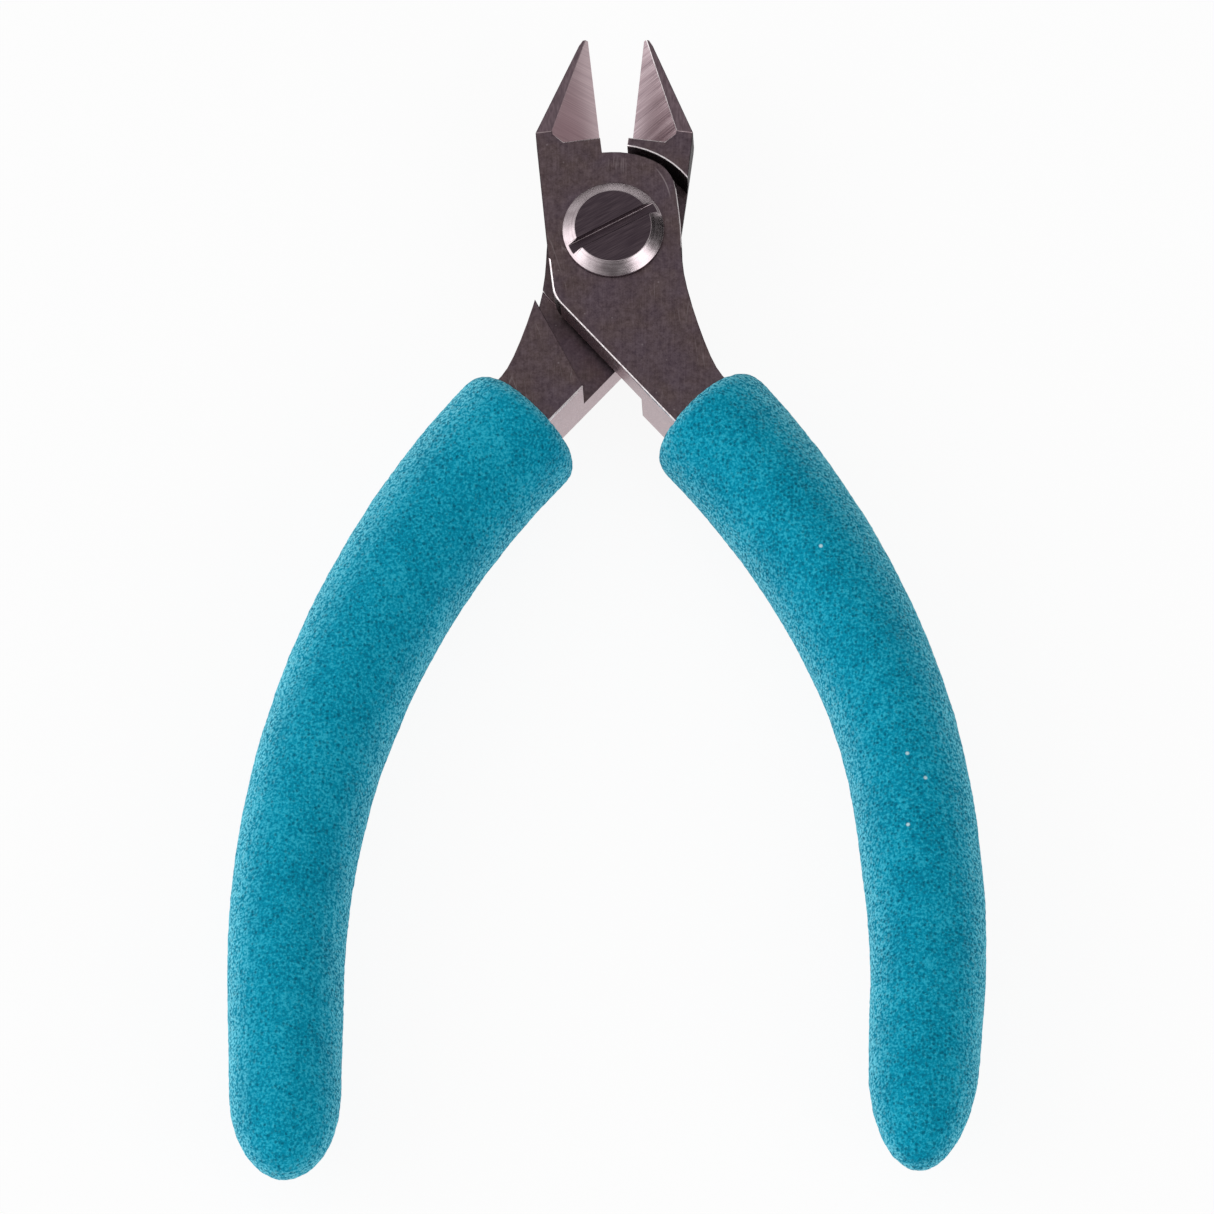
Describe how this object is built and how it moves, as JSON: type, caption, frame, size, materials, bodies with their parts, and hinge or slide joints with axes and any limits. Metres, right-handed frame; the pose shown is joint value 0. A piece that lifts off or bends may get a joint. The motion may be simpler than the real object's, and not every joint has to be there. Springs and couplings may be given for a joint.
{
  "type": "angled side cutters",
  "caption": "Small hand cutters for electronics: lapped steel halves on a slotted joint screw, ground jaws that lean to the screw side, a hidden return spring and curved foam sleeve grips.",
  "frame": {"origin": "on the pivot axis, at the flat back of the pivot nut", "axes": "+Z along the pivot axis out of the screw head, +Y to the jaw tips, +X to the right arm seen from the screw side; stored with the jaws open"},
  "size_m": [0.0708, 0.1147, 0.0126],
  "materials": {
    "dark_steel": "dark satin steel, bright where it is ground",
    "turned_steel": "turned steel with a darker flat top",
    "spring_steel": "plain drawn steel",
    "foam": "teal open-cell foam, matt"
  },
  "bodies": {
    "rear_body": {"rear_half": "dark_steel", "left_grip": "foam", "pivot_nut": "turned_steel", "pivot_screw": "turned_steel", "spring_washer": "spring_steel", "stop_pin": "spring_steel", "return_spring": "spring_steel"},
    "front_body": {"front_half": "dark_steel", "right_grip": "foam"}
  },
  "joints": [
    {"name": "jaw_close", "type": "hinge", "parent": "rear_body", "child": "front_body", "pos_m": [0, 0, 0.0039], "axis": [0, 0, -1], "range_deg": [0, 14.4], "stiffness_Nm_per_rad": 0.4, "springref_deg": -28.65, "deforming": ["return_spring"]}
  ]
}
